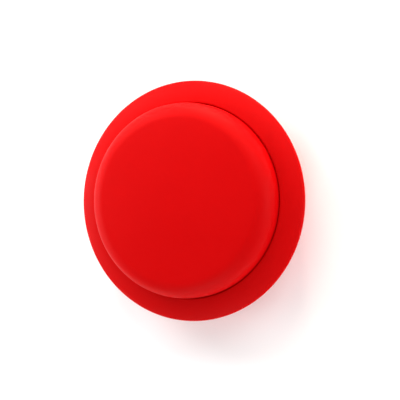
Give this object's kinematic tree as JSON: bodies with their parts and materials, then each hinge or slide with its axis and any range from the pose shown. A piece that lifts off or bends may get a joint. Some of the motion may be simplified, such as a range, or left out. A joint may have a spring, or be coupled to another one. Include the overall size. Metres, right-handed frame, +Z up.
{
  "type": "quiz buzzer",
  "caption": "Low round tabletop quiz buzzer with a wide domed push button in a sloping ring bezel, a downward speaker and a hinged battery door.",
  "frame": {"origin": "on the table, in the middle of the base", "axes": "+Z up, the way the button faces; the battery door is on the -Y side of the underside"},
  "size_m": [0.1, 0.1, 0.0371],
  "materials": {
    "button_red": "satin moulded ABS",
    "bezel_red": "satin moulded ABS",
    "base_red": "satin moulded ABS",
    "chassis_abs": "black moulded ABS",
    "feet_rubber": "matt non-slip rubber",
    "silicone": "milky silicone rubber",
    "carbon": "carbon-filled rubber",
    "board_laminate": "solder-masked fibreglass laminate",
    "epoxy_black": "black epoxy",
    "resistor_ceramic": "glazed chip",
    "zinc_steel": "zinc plated steel",
    "spring_steel": "bright spring wire",
    "nickel": "nickel plated steel strip",
    "speaker_steel": "pressed steel, thin black paint",
    "ferrite": "bare ferrite",
    "mylar": "clear polyester film",
    "foam": "closed-cell foam gasket",
    "cell_wrap": "shrink-wrapped cell label, plain",
    "wire_red": "PVC insulation",
    "wire_black": "PVC insulation"
  },
  "bodies": {
    "base": {"bezel_ring": "bezel_red", "chassis_plate": "chassis_abs", "base_tub": "base_red", "switch_dome": "silicone", "circuit_board": "board_laminate", "sound_chip": "epoxy_black", "chip_resistors": "resistor_ceramic", "speaker_gasket": "foam", "speaker_frame": "speaker_steel", "speaker_magnet": "ferrite", "speaker_cone": "mylar", "speaker_clamp": "chassis_abs", "speaker_terminal": "board_laminate", "contact_bridge": "nickel", "contact_positive": "nickel", "contact_negative": "nickel", "bezel_screws": "zinc_steel", "base_screws": "zinc_steel", "board_screws": "zinc_steel", "clamp_screws": "zinc_steel", "battery_lead_red": "wire_red", "battery_lead_black": "wire_black", "speaker_lead_red": "wire_red", "speaker_lead_black": "wire_black", "return_spring_1": "spring_steel", "return_spring_2": "spring_steel", "return_spring_3": "spring_steel", "battery_1": "cell_wrap", "contact_spring_1": "spring_steel", "battery_2": "cell_wrap", "contact_spring_2": "spring_steel", "rubber_foot_1": "feet_rubber", "rubber_foot_2": "feet_rubber", "rubber_foot_3": "feet_rubber", "rubber_foot_4": "feet_rubber"},
    "button": {"button_cap": "button_red"},
    "pill": {"contact_pill": "carbon"},
    "door": {"battery_door": "base_red"}
  },
  "joints": [
    {"name": "button_press", "type": "slide", "parent": "base", "child": "button", "axis": [0, 0, -1], "range_m": [0, 0.003], "stiffness_N_per_m": 1200, "springref_m": -0.002, "deforming": ["return_spring_1", "return_spring_2", "return_spring_3", "switch_dome"]},
    {"name": "pill_travel", "type": "slide", "parent": "base", "child": "pill", "axis": [0, 0, -1], "range_m": [0, 0.003]},
    {"name": "battery_door_hinge", "type": "hinge", "parent": "base", "child": "door", "pos_m": [0, -0.0032, 0.0015], "axis": [1, 0, 0], "range_deg": [0, 75]}
  ],
  "couplings": [
    {"joint": "pill_travel", "follows": "button_press", "ratio": 1}
  ]
}
